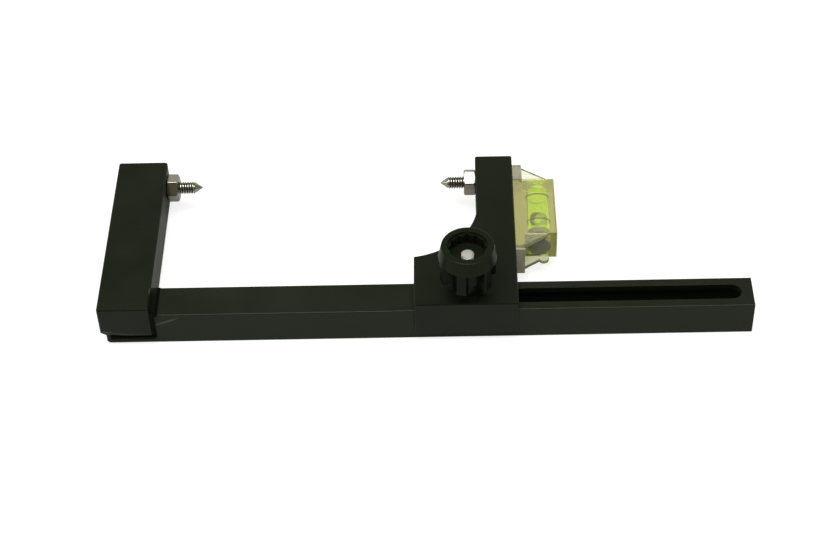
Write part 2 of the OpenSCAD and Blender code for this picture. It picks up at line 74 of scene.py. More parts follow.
class Finish:
    """A material and short ways to add nodes to it."""

    def __init__(self, name):
        self.mat = bpy.data.materials.new(name)
        self.mat.use_nodes = True
        self.tree = self.mat.node_tree
        self.tree.nodes.clear()
        self.out = self.add("ShaderNodeOutputMaterial")

    def add(self, kind, inputs=None, **settings):
        node = self.tree.nodes.new(kind)
        for key, value in settings.items():
            setattr(node, key, value)
        for key, value in (inputs or {}).items():
            if isinstance(value, bpy.types.NodeSocket):
                self.tree.links.new(value, node.inputs[key])
            else:
                node.inputs[key].default_value = value
        return node

    def place(self, scale=(1, 1, 1), turn=(0, 0, 0), centre=(0, 0, 0)):
        """Object coordinates, moved, turned and scaled, in metres."""
        coordinates = self.add("ShaderNodeTexCoord").outputs["Object"]
        moved = self.add("ShaderNodeMapping", {"Vector": coordinates, "Location": [-c for c in centre]})
        return self.add("ShaderNodeMapping", {"Vector": moved.outputs[0], "Rotation": turn, "Scale": scale}).outputs[0]

    def noise(self, vector, scale, detail, roughness=0.5):
        return self.add("ShaderNodeTexNoise", {"Vector": vector, "Scale": scale, "Detail": detail,
                                               "Roughness": roughness}).outputs["Fac"]

    def ramp(self, value, *stops):
        """Colour ramp; a stop is (place, colour or grey)."""
        node = self.add("ShaderNodeValToRGB", {"Fac": value})
        marks = node.color_ramp.elements
        while len(marks) < len(stops):
            marks.new(0.5)
        for mark, (at, colour) in zip(marks, stops):
            mark.position = at
            mark.color = (*colour, 1) if isinstance(colour, tuple) else (colour, colour, colour, 1)
        return node.outputs["Color"]

    def mix(self, factor, a, b):
        """Colour a where the factor is 0, and b where it is 1."""
        node = self.add("ShaderNodeMix", data_type="RGBA")
        for key, value in (("Factor", factor), ("A", a), ("B", b)):
            kind = "VALUE" if key == "Factor" else "RGBA"
            socket = [s for s in node.inputs if s.name == key and s.type == kind][0]
            if isinstance(value, bpy.types.NodeSocket):
                self.tree.links.new(value, socket)
            else:
                socket.default_value = value if key == "Factor" else (*value, 1)
        return [s for s in node.outputs if s.type == "RGBA"][0]

    def bump(self, height, distance, strength, normal=None):
        inputs = {"Height": height, "Distance": distance, "Strength": strength}
        if normal is not None:
            inputs["Normal"] = normal
        return self.add("ShaderNodeBump", inputs).outputs["Normal"]

    def surface(self, **inputs):
        """Principled shader; an underscore in a name stands for a space."""
        shader = self.add("ShaderNodeBsdfPrincipled", {k.replace("_", " "): v for k, v in inputs.items()})
        self.tree.links.new(shader.outputs[0], self.out.inputs["Surface"])
        return self.mat


def white_ground():
    """Pale floor that shows white to the camera and keeps a faint shadow."""
    f = Finish("pale_floor")
    path = f.add("ShaderNodeLightPath")
    seen = f.add("ShaderNodeMath", {0: path.outputs["Is Camera Ray"], 1: path.outputs["Is Transmission Ray"]},
                 operation="MAXIMUM").outputs[0]
    shine = f.add("ShaderNodeMath", {0: path.outputs["Is Glossy Ray"], 1: 0.08}, operation="MULTIPLY").outputs[0]
    bright = f.add("ShaderNodeMath", {0: seen, 1: 0.8, 2: shine}, operation="MULTIPLY_ADD").outputs[0]
    glow = f.add("ShaderNodeEmission", {"Color": (1, 1, 1, 1), "Strength": bright})
    paper = f.add("ShaderNodeBsdfDiffuse", {"Color": (0.5, 0.5, 0.49, 1)})
    both = f.add("ShaderNodeAddShader", {0: glow.outputs[0], 1: paper.outputs[0]})
    f.tree.links.new(both.outputs[0], f.out.inputs["Surface"])
    bpy.ops.mesh.primitive_plane_add(size=8, location=(0, 0, -0.0002))
    floor = bpy.context.object
    floor.name = "floor"
    floor.data.materials.append(f.mat)


def surroundings():
    """Studio walls: light near the horizon, highest at the back, dimmer and warmer above, and white to the camera."""
    world = bpy.data.worlds.new("studio")
    bpy.context.scene.world = world
    world.use_nodes = True
    tree = world.node_tree
    tree.nodes.clear()
    add, link = tree.nodes.new, tree.links.new
    split = add("ShaderNodeSeparateXYZ")
    link(add("ShaderNodeTexCoord").outputs["Generated"], split.inputs[0])
    height = add("ShaderNodeMath")
    height.operation = "MULTIPLY_ADD"
    link(split.outputs["Y"], height.inputs[0])
    height.inputs[1].default_value = -0.3
    link(split.outputs["Z"], height.inputs[2])
    fade = add("ShaderNodeValToRGB")
    link(height.outputs[0], fade.inputs["Fac"])
    low, high = fade.color_ramp.elements
    low.position, low.color = 0.26, (0.52, 0.52, 0.47, 1)
    high.position, high.color = 0.44, (0.13, 0.113, 0.080, 1)
    path = add("ShaderNodeLightPath")
    seen = add("ShaderNodeMath")
    seen.operation = "MULTIPLY_ADD"
    link(path.outputs["Is Transmission Ray"], seen.inputs[0])
    seen.inputs[1].default_value = 0.8
    link(path.outputs["Is Camera Ray"], seen.inputs[2])
    blend = add("ShaderNodeMix")
    blend.data_type = "RGBA"
    link(seen.outputs[0], blend.inputs[0])
    link(fade.outputs["Color"], blend.inputs[6])
    blend.inputs[7].default_value = (1, 1, 1, 1)
    back = add("ShaderNodeBackground")
    link(blend.outputs[2], back.inputs["Color"])
    out = add("ShaderNodeOutputWorld")
    link(back.outputs[0], out.inputs["Surface"])


bpy.context.scene.view_settings.view_transform = "Standard"
camera_at((0.012058, -0.661954, 0.700843), elevation=45.183, yaw=1.661, roll=-2.208, lens=84.70)
bpy.ops.object.select_all(action="DESELECT")
white_ground()
surroundings()
lamp("overhead_softbox", (-0.05, -0.24, 1.45), size=(1.45, 0.72), power=14.5)
lamp("left_fill", (-1.3, -0.3, 0.7), size=(0.6, 0.6), power=2)


# ---------------------------------------------------------------- ways of shaping, in millimetres

def leave():
    """Back to object mode with nothing chosen."""
    active = bpy.context.view_layer.objects.active
    if active and active.mode == "EDIT":
        bpy.ops.object.mode_set(mode="OBJECT")
    bpy.ops.object.select_all(action="DESELECT")


def take(obj, kind=None):
    """Make one object the active one. A kind, VERT, EDGE or FACE, opens it for editing with nothing chosen."""
    leave()
    obj.select_set(True)
    bpy.context.view_layer.objects.active = obj
    if kind:
        bpy.ops.object.mode_set(mode="EDIT")
        bpy.ops.mesh.select_mode(type=kind)
        bpy.ops.mesh.select_all(action="DESELECT")


def choose_edges(obj, wanted):
    """Choose the edges whose two ends pass a test."""
    take(obj, "EDGE")
    mesh = bmesh.from_edit_mesh(obj.data)
    for edge in mesh.edges:
        edge.select_set(bool(wanted(edge.verts[0].co / MM, edge.verts[1].co / MM)))
    bmesh.update_edit_mesh(obj.data)


def bevel(obj, wanted, width, segments=1):
    choose_edges(obj, wanted)
    bpy.ops.mesh.bevel(offset=width * MM, offset_type="OFFSET", segments=segments, affect="EDGES")
    leave()


def trim(obj, at, normal):
    """Cut off what lies past a plane and close the cut."""
    take(obj, "VERT")
    bpy.ops.mesh.select_all(action="SELECT")
    bpy.ops.mesh.bisect(plane_co=Vector(at) * MM, plane_no=Vector(normal).normalized(), use_fill=True,
                        clear_outer=True, threshold=1e-8)
    leave()


def fixed(obj, name=None, at=(0, 0, 0), turn=(0, 0, 0)):
    """Turn a shape, move it to its place, and put both in its mesh."""
    take(obj)
    obj.rotation_euler = [math.radians(a) for a in turn]
    obj.location = Vector(at) * MM
    bpy.ops.object.transform_apply(location=True, rotation=True, scale=True)
    if name:
        obj.name = name
    return obj


def block(name, low, high):
    leave()
    low, high = Vector(low) * MM, Vector(high) * MM
    bpy.ops.mesh.primitive_cube_add(size=1, location=(low + high) / 2)
    obj = bpy.context.object
    obj.name = name
    obj.scale = high - low
    bpy.ops.object.transform_apply(location=True, rotation=True, scale=True)
    return obj


def rod(name, r, low, high, sides=48, half_step=False):
    """Upright cylinder on the Z axis; a half step turns it by half of one side."""
    leave()
    bpy.ops.mesh.primitive_cylinder_add(vertices=sides, radius=r * MM, depth=(high - low) * MM,
                                        location=(0, 0, (low + high) / 2 * MM))
    obj = bpy.context.object
    take(obj)
    obj.name = name
    obj.rotation_euler[2] = math.radians(180 / sides if half_step else 0)
    bpy.ops.object.transform_apply(location=True, rotation=True, scale=True)
    return obj


def turned(name, rings, sides=64, loop=False):
    """Turn a section, given as (radius, height), round the Z axis by drawing a ring out and resizing it."""
    leave()
    (r, z), rest = rings[0], rings[1:]
    bpy.ops.mesh.primitive_circle_add(vertices=sides, radius=max(r, 0.001) * MM, location=(0, 0, 0))
    obj = bpy.context.object
    obj.name = name
    take(obj, "EDGE")
    bpy.ops.mesh.select_all(action="SELECT")
    bpy.ops.transform.translate(value=(0, 0, z * MM))
    if r > 0 and not loop:
        bpy.ops.mesh.edge_face_add()
        take_ring(obj, z)
    for r2, z2 in rest:
        bpy.ops.mesh.extrude_region_move(TRANSFORM_OT_translate={"value": (0, 0, (z2 - z) * MM)})
        k = max(r2, 0.001) / max(r, 0.001)
        bpy.ops.transform.resize(value=(k, k, 1), center_override=(0, 0, z2 * MM))
        r, z = r2, z2
    if r > 0 and not loop:
        bpy.ops.mesh.edge_face_add()
    bpy.ops.mesh.select_all(action="SELECT")
    bpy.ops.mesh.remove_doubles(threshold=0.003 * MM)
    bpy.ops.mesh.select_all(action="SELECT")
    bpy.ops.mesh.normals_make_consistent(inside=False)
    leave()
    return obj


def take_ring(obj, z):
    """Choose the ring of edges at one height, not the face that fills it."""
    bpy.ops.mesh.select_all(action="DESELECT")
    mesh = bmesh.from_edit_mesh(obj.data)
    for edge in mesh.edges:
        edge.select_set(all(abs(v.co.z / MM - z) < 1e-4 for v in edge.verts))
    bmesh.update_edit_mesh(obj.data)


def combine(obj, tools, operation="DIFFERENCE", facets=False):
    """Cut each tool out of a shape, or join it on, and remove the tool. Facets split the faces into triangles first."""
    for tool in tools:
        for shape in (obj, tool) if facets else ():
            take(shape, "FACE")
            bpy.ops.mesh.select_all(action="SELECT")
            bpy.ops.mesh.quads_convert_to_tris(quad_method="BEAUTY", ngon_method="BEAUTY")
        take(obj)
        step = obj.modifiers.new("step", "BOOLEAN")
        step.operation = operation
        step.object = tool
        step.solver = "EXACT"
        bpy.ops.object.modifier_apply(modifier=step.name)
        bpy.data.objects.remove(tool)
        take(obj, "VERT")
        bpy.ops.mesh.select_all(action="SELECT")
        bpy.ops.mesh.remove_doubles(threshold=0.0005 * MM)
        bpy.ops.mesh.dissolve_degenerate(threshold=0.0005 * MM)
        leave()
    return obj


def twin(obj, name, at=(0, 0, 0), turn=(0, 0, 0)):
    """A copy with its own mesh."""
    take(obj)
    bpy.ops.object.duplicate()
    return fixed(bpy.context.object, name, at, turn)


def threaded(name, length, crest, root, pitch, sides=36):
    """Threaded rod from the origin up: one thread's outline drawn point by point, wound by a Screw modifier."""
    leave()
    bpy.ops.mesh.primitive_plane_add(size=0.001, location=(0, 0, 0))
    obj = bpy.context.object
    obj.name = name
    take(obj, "VERT")
    bpy.ops.mesh.select_all(action="SELECT")
    bpy.ops.mesh.merge(type="CENTER")
    bpy.ops.transform.translate(value=(root * MM, 0, -1.99 * pitch * MM))
    r, z = root, 0
    for r2, z2 in ((root, 0.1), (root + 0.06, 0.15), (crest - 0.06, 0.38), (crest, 0.43), (crest, 0.67),
                   (crest - 0.06, 0.72), (root + 0.06, 0.95), (root, 1.0)):
        step = ((r2 - r) * MM, 0, (z2 - z) * pitch * MM)
        bpy.ops.mesh.extrude_region_move(TRANSFORM_OT_translate={"value": step})
        r, z = r2, z2
    leave()
    take(obj)
    wind = obj.modifiers.new("wind", "SCREW")
    wind.axis = "Z"
    wind.angle = math.tau
    wind.screw_offset = pitch * MM
    wind.steps = wind.render_steps = sides
    wind.iterations = math.ceil(length / pitch) + 4
    wind.use_merge_vertices = True
    wind.merge_threshold = 0.01 * MM
    bpy.ops.object.modifier_apply(modifier=wind.name)
    take(obj, "VERT")
    bpy.ops.mesh.select_all(action="SELECT")
    bpy.ops.mesh.remove_doubles(threshold=0.01 * MM)
    bpy.ops.mesh.select_all(action="SELECT")
    bpy.ops.mesh.normals_make_consistent(inside=False)
    leave()
    trim(obj, (0, 0, length), (0, 0, 1))
    trim(obj, (0, 0, 0), (0, 0, -1))
    take(obj, "VERT")
    bpy.ops.mesh.select_all(action="SELECT")
    bpy.ops.mesh.normals_make_consistent(inside=False)
    leave()
    return obj


def stadium(name, x0, x1, width, z0, z1):
    """Round ended slot shape along X."""
    r = width / 2
    obj = rod(name, r / math.cos(math.pi / 64), z0, z1, 64, half_step=True)
    take(obj, "VERT")
    mesh = bmesh.from_edit_mesh(obj.data)
    for vert in mesh.verts:
        vert.select_set(vert.co.x > 0)
    bmesh.update_edit_mesh(obj.data)
    bpy.ops.transform.translate(value=((x1 - x0 - width) * MM, 0, 0))
    leave()
    return fixed(obj, name, (x0 + r, 0, 0))


def finished(obj, body, material, slot, *nodes_replaced, angle=35, flatten=True):
    """Smooth the shading, give the finish, and hand the piece to its body."""
    take(obj)
    bpy.ops.object.transform_apply(location=True, rotation=True, scale=True)
    bpy.ops.object.shade_smooth_by_angle(angle=math.radians(angle))
    if flatten:
        flat = obj.modifiers.new("flat", "WEIGHTED_NORMAL")
        flat.keep_sharp = True
        bpy.ops.object.modifier_apply(modifier=flat.name)
    obj.data.materials.clear()
    obj.data.materials.append(material)
    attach(obj, body)
    if nodes_replaced:
        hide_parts(*nodes_replaced)
    leave()


# ---------------------------------------------------------------- measures of the object, in millimetres

HALF_LENGTH, HALF, TOP = 158.75, 9.525, 19.05
WALL = 3.175
ARM_LOW, ARM_MID, ARM_TOP = 6.35, 15.875, 25.4
FRONT, TIP, POINT_Y = -11.925, 95.5, 85.7
FIXED_LEFT, FIXED_RIGHT = -161.05, -135.65
SEAT = 0.05
CARRIAGE_LEFT, CARRIAGE_RIGHT, CARRIAGE_ARM = -6.8, 44.0, 24.95
STUD_X = 19.6
HOLLOW_R, HOLLOW_X, HOLLOW_Y, HOLLOW_TOP = 38.1, -12.70, 59.541, 53.7
SLOT_START, SLOT_END, SLOT_WIDTH = 2.05, 153.05, 9.525
LIP = 2.4
CREST, ROOT, PITCH = 3.175, 2.45, 1.27
THREAD_GAP, STUD_HOLE_R = 0.05, 3.375
POINT_REACH, CONE, FIXED_LONG, CARRIAGE_LONG = 18.2, 4.3, 31.75, 25.4
NUT_FLATS, NUT_THICK = 12.7, 5.95
KNOB_LOW, KNOB_TALL, KNOB_BAND, KNOB_RECESS, KNOB_RIM = 26.47, 27.2, 19.6, 7.0, 1.4
RIBS, RIB_HALF, RIB_OUT, RIB_TALL = 6, 2.35, 13.6, 13.6
SCALLOPS = 12
FLANGE_HALF, SCREW_OFFSET, WEB_OUT, WEB_RUN, WEB_THICK = 31.35, 25.95, 12.4, 8.5, 2
RING_NEAR, RING_FAR = 50.4, 68.4
PLUG_LONG = 6.3
FLANGE_X, BLOCK_X, CHAMBER_X, CHAMBER_Z = 48.7, 65.1, 56.3, 15.925
LEVEL_LOW, LEVEL_HIGH, LEVEL_Y = 7.375, 24.475, 57.9
BLOCK_NEAR, BLOCK_FAR, PLUG_END, CHAMBER_FAR, CHAMBER_R = 37.9, 77.9, 44.2, 77.1, 5.65
BUBBLE = (CHAMBER_X, 49.9, CHAMBER_Z + CHAMBER_R - 1.5)


def close(a, b):
    """Two measures that are the same but for rounding."""
    return abs(a - b) < 0.02


# ---------------------------------------------------------------- the bar and the fixed arm

def make_bar():
    """Square tube with a round ended slot in its top, and a bevel under its left end."""
    bar = block("slotted_bar", (-HALF_LENGTH, -HALF, 0), (HALF_LENGTH, HALF, TOP))
    bevel(bar, lambda a, b: abs(a.x - b.x) > 100, 0.6, 4)
    trim(bar, (-HALF_LENGTH + 1.6, 0, 0), (-1, 0, -1))
    bevel(bar, lambda a, b: a.x > 158.7 and b.x > 158.7, 0.25, 2)
    cavity = block("cavity", (-170, -HALF + WALL, WALL), (170, HALF - WALL, TOP - WALL))
    bevel(cavity, lambda a, b: abs(a.x - b.x) > 100, 0.5, 3)
    slot = stadium("slot", SLOT_START, SLOT_END, SLOT_WIDTH, 14, 22)
    combine(bar, [cavity, slot])
    bevel(bar, lambda a, b: close(a.z, TOP) and close(b.z, TOP) and max(abs(a.y), abs(b.y)) < 4.9
          and min(a.x, b.x) > SLOT_START - 0.15 and max(a.x, b.x) < SLOT_END + 0.25, 0.18, 2)
    return bar


def bore(name, at, turn, length):
    """Clear hole for a point screw, wide enough for its thread's crests at any position."""
    return fixed(rod(name, CREST + THREAD_GAP, 0, length, 48), name, at, turn)


def hole_mouth(name, at, turn):
    """Countersink at the mouth of a point hole; it opens along +Z."""
    cone = turned(name, [(2.4, -1.3), (3.75, 0), (3.75, 1)], 48)
    return fixed(cone, name, at, turn)


def make_fixed_arm():
    """Arm notched over the bar's left end, with a rounded lip and a skew corner. Its point hole is threaded at its
    left mouth only."""
    arm = block("fixed_arm_bar", (FIXED_LEFT, FRONT, ARM_LOW), (FIXED_RIGHT, TIP, ARM_TOP))
    bevel(arm, lambda a, b: close(a.x, b.x) and close(a.y, b.y) and (a.x < -140 or a.y < 0), 1.0, 5)
    bevel(arm, lambda a, b: close(a.x, FIXED_RIGHT) and close(b.x, FIXED_RIGHT) and close(a.y, TIP)
          and close(b.y, TIP), 1.6, 6)
    bevel(arm, lambda a, b: close(a.z, ARM_TOP) and close(b.z, ARM_TOP), 0.45)
    trim(arm, (FIXED_LEFT, 0, ARM_LOW + 2.2), (-1, 0, -1))
    bevel(arm, lambda a, b: close(a.z, ARM_LOW) and close(b.z, ARM_LOW) and min(a.y, b.y) > FRONT - 0.1
          and (min(a.x, b.x) > FIXED_RIGHT - 1.1 or min(a.y, b.y) > TIP - 1.1), 0.3, 2)
    under = block("under_lip", (-170, FRONT - 1, ARM_LOW - 1), (-120, -HALF, ARM_LOW + LIP))
    round_lip = fixed(turned("lip_round", [(LIP, -25), (LIP, 25)], 96), None,
                      (-148, -HALF, ARM_LOW + LIP), (0, 90, 0))
    combine(under, [round_lip])
    notch = block("notch", (-HALF_LENGTH, -HALF, 0), (-120, HALF, TOP))
    # The thread is cut a little wider than the clear bore: at one radius the two leave open edges.
    tapped = fixed(threaded("tapped", 7, CREST + 0.12, ROOT + THREAD_GAP, PITCH), None,
                   (FIXED_LEFT - 2, POINT_Y, ARM_MID), (0, 90, 0))
    clear = bore("bore", (FIXED_LEFT + 4.7, POINT_Y, ARM_MID), (0, 90, 0), 25)
    mouths = [hole_mouth("mouth", (FIXED_LEFT + 0.01, POINT_Y, ARM_MID), (0, -90, 0)),
              hole_mouth("mouth", (FIXED_RIGHT - 0.01, POINT_Y, ARM_MID), (0, 90, 0))]
    combine(arm, [under, notch, tapped, clear] + mouths)
    slope, tilt = math.radians(12), math.radians(23)
    down = Vector((math.cos(slope), 0, -math.sin(slope)))
    inward = Matrix.Rotation(tilt, 3, down) @ Vector((0, -1, 0))
    trim(arm, (FIXED_LEFT, FRONT, ARM_LOW + 5.2), inward)
    return arm


def make_weld():
    """Smooth, slightly hollow weld from the arm's top down to the bar and round its front, with a run under the lip."""
    over = block("weld", (-136.5, -HALF - 0.7, TOP - 0.6), (-132.2, HALF + 0.1, ARM_TOP + 0.1))
    combine(over, [fixed(rod("weld_hollow", 8, -20, 20, 128), None, (-127.36, 0, ARM_TOP + 0.23), (90, 0, 0))])
    trim(over, (-134, HALF + 0.1, TOP), (0, 1, 1.05))
    front = block("front_run", (-136.4, FRONT + 0.3, ARM_LOW + 1.6), (-133.9, -HALF + 0.4, TOP + 2.5))
    bevel(front, lambda a, b: close(a.x, -133.9) and close(b.x, -133.9) and close(a.y, FRONT + 0.3)
          and close(b.y, FRONT + 0.3), 1.7, 2)
    back = block("back_run", (-136.4, HALF - 0.4, ARM_LOW + 0.6), (-133.2, HALF + 2.9, TOP - 3.4))
    bevel(back, lambda a, b: close(a.x, -133.2) and close(b.x, -133.2) and close(a.y, HALF + 2.9)
          and close(b.y, HALF + 2.9), 2.4, 3)
    lip = block("lip_run", (-157.0, -HALF - 0.5, ARM_LOW - 2.8), (-133.8, -HALF + 0.4, ARM_LOW + 1.8))
    bead = block("lip_bead", (-156.6, -HALF - 1.2, ARM_LOW - 3.0), (-134.6, -HALF + 0.4, ARM_LOW - 1.0))
    combine(over, [front, back, lip, bead], "UNION")
    take(over)
    grain = over.modifiers.new("grain", "REMESH")
    grain.mode = "VOXEL"
    grain.voxel_size = 0.2 * MM
    bpy.ops.object.modifier_apply(modifier=grain.name)
    soft = over.modifiers.new("soft", "SMOOTH")
    soft.factor = 0.5
    soft.iterations = 10
    bpy.ops.object.modifier_apply(modifier=soft.name)
    return over


# ---------------------------------------------------------------- the carriage

def make_carriage():
    """Block that straddles the bar, with a hollow curve up to its arm."""
    low, high = ARM_LOW + SEAT, ARM_TOP + SEAT
    body = block("carriage_block", (CARRIAGE_LEFT, FRONT, low), (CARRIAGE_RIGHT, TIP, high))
    bevel(body, lambda a, b: close(a.x, b.x) and close(a.y, b.y), 1.0, 5)
    hollow = rod("hollow", HOLLOW_R, 0, 40, 240)
    fixed(hollow, None, (HOLLOW_X, HOLLOW_Y, 0))
    trim(hollow, (CARRIAGE_ARM, 0, 0), (1, 0, 0))
    trim(hollow, (0, HOLLOW_TOP, 0), (0, 1, 0))
    trim(hollow, (0, 19, 0), (0, -1, 0))
    beside = block("beside_arm", (CARRIAGE_LEFT - 2, HOLLOW_TOP - 0.001, 0), (CARRIAGE_ARM, TIP + 2, 40))
    combine(body, [hollow, beside])
    bevel(body, lambda a, b: close(a.x, CARRIAGE_ARM) and close(b.x, CARRIAGE_ARM) and close(a.y, TIP)
          and close(b.y, TIP), 1.0, 5)
    channel = block("channel", (CARRIAGE_LEFT - 1, -HALF - 0.1, 0), (CARRIAGE_RIGHT + 1, HALF + 0.1, TOP + SEAT))
    combine(body, [channel])
    bevel(body, lambda a, b: close(a.z, high) and close(b.z, high), 0.45)
    bevel(body, lambda a, b: close(a.z, low) and close(b.z, low)
          and not close(abs(a.y + b.y) / 2, HALF + 0.1), 0.35, 3)
    stud_hole = fixed(rod("stud_hole", STUD_HOLE_R, 10, 40, 48), None, (STUD_X, 0, 0))
    point_hole = bore("bore", (CARRIAGE_ARM - 2, POINT_Y, ARM_MID + SEAT), (0, 90, 0), 14)
    mouth = hole_mouth("mouth", (CARRIAGE_ARM + 0.01, POINT_Y, ARM_MID + SEAT), (0, -90, 0))
    screw_holes = [fixed(rod("screw_hole", 1.8, 0, 7, 24), None,
                         (CARRIAGE_RIGHT + 0.5, LEVEL_Y + s * SCREW_OFFSET, CHAMBER_Z), (0, -90, 0)) for s in (-1, 1)]
    return combine(body, [stud_hole] + screw_holes + [point_hole, mouth])


# ---------------------------------------------------------------- points, nuts and stud

def make_point(name, length):
    """Threaded set screw along +Z with its cone at the top, at height 0, and a key socket below."""
    screw = fixed(threaded(name, length, CREST, ROOT, PITCH), name, (0, 0, -length))
    blank = turned("blank", [(0, 0), (0.25, -0.12), (CREST + 0.02, -CONE), (CREST + 0.02, -length + 0.7),
                             (CREST - 0.65, -length), (0, -length)], 64)
    combine(screw, [blank], "INTERSECT")
    socket = turned("socket", [(1.95, -length - 0.5), (1.95, -length + 0.12), (1.833, -length + 0.12),
                               (1.833, -length + 2.6), (0, -length + 3.3)], 6)
    return combine(screw, [socket])


def make_nut(name):
    """Hex nut from the origin up, chamfered on both faces, with a smooth clear bore for a screw that slides."""
    flats, thick = NUT_FLATS, NUT_THICK
    corner = flats / 2 / math.cos(math.pi / 6)
    nut = rod(name, corner, 0, thick, 6, half_step=True)
    bevel(nut, lambda a, b: close(a.x, b.x) and close(a.y, b.y), 0.42, 3)
    rise = 0.95
    shell = turned("shell", [(flats / 2 - 0.45, -0.001), (corner - 0.35, 0.5), (corner + 0.1, rise + 0.1),
                             (corner + 0.1, thick - rise - 0.1), (corner - 0.35, thick - 0.5),
                             (flats / 2 - 0.45, thick + 0.001)], 96)
    combine(nut, [shell], "INTERSECT")
    mouths = [fixed(turned("mouth", [(2.4, -0.9), (3.6, 0.01), (3.6, 0.6)], 48), None, at, turn)
              for at, turn in (((0, 0, thick), (0, 0, 0)), ((0, 0, 0), (180, 0, 0)))]
    return combine(nut, [bore("bore", (0, 0, -1), (0, 0, 0), thick + 2)] + mouths)


def make_stud():
    """Threaded stud from the sliding block up into the knob's recess, bevelled below and rounded on top."""
    low, high = 7.425, 48.17
    stud = fixed(threaded("clamp_stud_thread", high - low, CREST, ROOT, PITCH), "threaded_stud", (STUD_X, 0, low))
    blank = turned("blank", [(0, low), (CREST - 0.6, low), (CREST + 0.02, low + 0.6), (CREST + 0.02, high - 0.42),
                             (CREST - 0.22, high - 0.16), (2.2, high - 0.03), (0, high)], 64)
    return combine(stud, [fixed(blank, None, (STUD_X, 0, 0))], "INTERSECT")


# ---------------------------------------------------------------- the knob

def make_knob():
    """Moulded knob: banded head with a scalloped recess, a neck, and ribs under the head."""
    tall, low = KNOB_TALL, KNOB_BAND
    floor, ledge = tall - KNOB_RECESS, tall - KNOB_RIM
    body = turned("clamp_knob", [
        (4.76, 0), (7.25, 0), (7.6, 0.35), (7.6, 6.5), (8.6, 7.5), (8.6, low - 0.35), (8.95, low), (13.95, low),
        (14.13, low + 0.07), (14.18, low + 0.3), (12.78, tall - 0.42), (12.68, tall - 0.18), (12.4, tall - 0.03),
        (12.1, tall), (10.0, tall), (9.8, tall - 0.08), (9.7, tall - 0.3), (9.7, ledge), (8.5, ledge),
        (8.5, floor + 0.3), (8.2, floor), (3.375, floor), (3.375, 12), (4.76, 12), (4.76, 0)], 144, loop=True)
    scallops = []
    for i in range(SCALLOPS):
        a = math.radians(360 / SCALLOPS * i)
        tool = turned("scallop", [(1.2, floor + 0.001), (1.2, ledge - 0.12), (1.32, ledge + 0.001),
                                  (1.32, ledge + 0.05)], 24)
        scallops.append(fixed(tool, None, (8.2 * math.cos(a), 8.2 * math.sin(a), 0)))
    rib = block("rib", (6.6, -RIB_HALF, low - RIB_TALL), (RIB_OUT, RIB_HALF, low + 0.6))
    bevel(rib, lambda a, b: close(a.x, RIB_OUT) and close(b.x, RIB_OUT) and close(a.z, b.z) and a.z < 7, 1.2, 4)
    bevel(rib, lambda a, b: abs(a.z - b.z) > 8 and close(a.x, RIB_OUT) and close(b.x, RIB_OUT), 0.55, 3)
    bevel(rib, lambda a, b: close(a.z, low - RIB_TALL) and close(b.z, low - RIB_TALL)
          and abs(a.x - b.x) > 3, 0.55, 3)
    ribs = [twin(rib, "rib", turn=(0, 0, 16 + 360 / RIBS * i)) for i in range(RIBS)]
    bpy.data.objects.remove(rib)
    combine(body, scallops, facets=True)
    combine(body, ribs, "UNION", facets=True)
    return fixed(body, "clamp_knob", (STUD_X, 0, KNOB_LOW))


# ---------------------------------------------------------------- the spirit level

def make_level_housing():
    """Clear block with its screw flange, two webs at each end, and a nib. It has no cavity for the vial."""
    housing = block("level_block", (FLANGE_X - 2, BLOCK_NEAR, LEVEL_LOW), (BLOCK_X, BLOCK_FAR, LEVEL_HIGH))
    bevel(housing, lambda a, b: min(a.x, b.x) > BLOCK_X - 0.1 or (min(a.x, b.x) < BLOCK_X - 10
          and max(a.x, b.x) > BLOCK_X - 0.1), 0.3, 3)
    flange = block("flange", (CARRIAGE_RIGHT, LEVEL_Y - FLANGE_HALF, LEVEL_LOW),
                   (FLANGE_X, LEVEL_Y + FLANGE_HALF, LEVEL_HIGH))
    bevel(flange, lambda a, b: max(a.x, b.x) > CARRIAGE_RIGHT + 1, 0.3, 3)
    parts = [flange]
    for side in (-1, 1):
        for low in (LEVEL_LOW, LEVEL_HIGH - WEB_THICK):
            web = block("web", (FLANGE_X - 0.5, 0, low), (FLANGE_X + WEB_OUT, WEB_RUN, low + WEB_THICK))
            fixed(web, None, (0, BLOCK_FAR, 0))
            trim(web, (FLANGE_X + WEB_OUT, BLOCK_FAR, 0), (WEB_RUN, WEB_OUT, 0))
            if side < 0:
                take(web, "VERT")
                bpy.ops.mesh.select_all(action="SELECT")
                bpy.ops.transform.resize(value=(1, -1, 1), center_override=(0, LEVEL_Y * MM, 0))
                bpy.ops.mesh.normals_make_consistent(inside=False)
                leave()
            parts.append(web)
    nib = fixed(rod("nib", 2.6, LEVEL_LOW, LEVEL_LOW + WEB_THICK, 48), None, (FLANGE_X + 9.8, BLOCK_NEAR - 2.125, 0))
    parts.append(nib)
    combine(housing, parts, "UNION")
    tools = []
    for s in (-1, 1):
        hole = turned("hole", [(3.41, -0.5), (3.41, 0.0), (1.95, 1.46), (1.95, 8)], 40)
        tools.append(fixed(hole, None, (FLANGE_X, LEVEL_Y + s * SCREW_OFFSET, CHAMBER_Z), (0, -90, 0)))
    return combine(housing, tools)


def make_fluid():
    """Yellow-green fluid with a domed far end."""
    r, dome = CHAMBER_R, CHAMBER_FAR - CHAMBER_R
    rings = [(0, PLUG_END + SEAT), (r - 0.15, PLUG_END + SEAT), (r, PLUG_END + 0.2), (r, dome)]
    rings += [(r * math.cos(math.radians(a)), dome + r * math.sin(math.radians(a))) for a in range(8, 90, 8)]
    rings += [(0, dome + r)]
    fluid = fixed(turned("green_fluid", rings, 96), "green_fluid", (CHAMBER_X, 0, CHAMBER_Z), (-90, 0, 0))
    return combine(fluid, [long_round("bubble_room", 1.01, BUBBLE)])


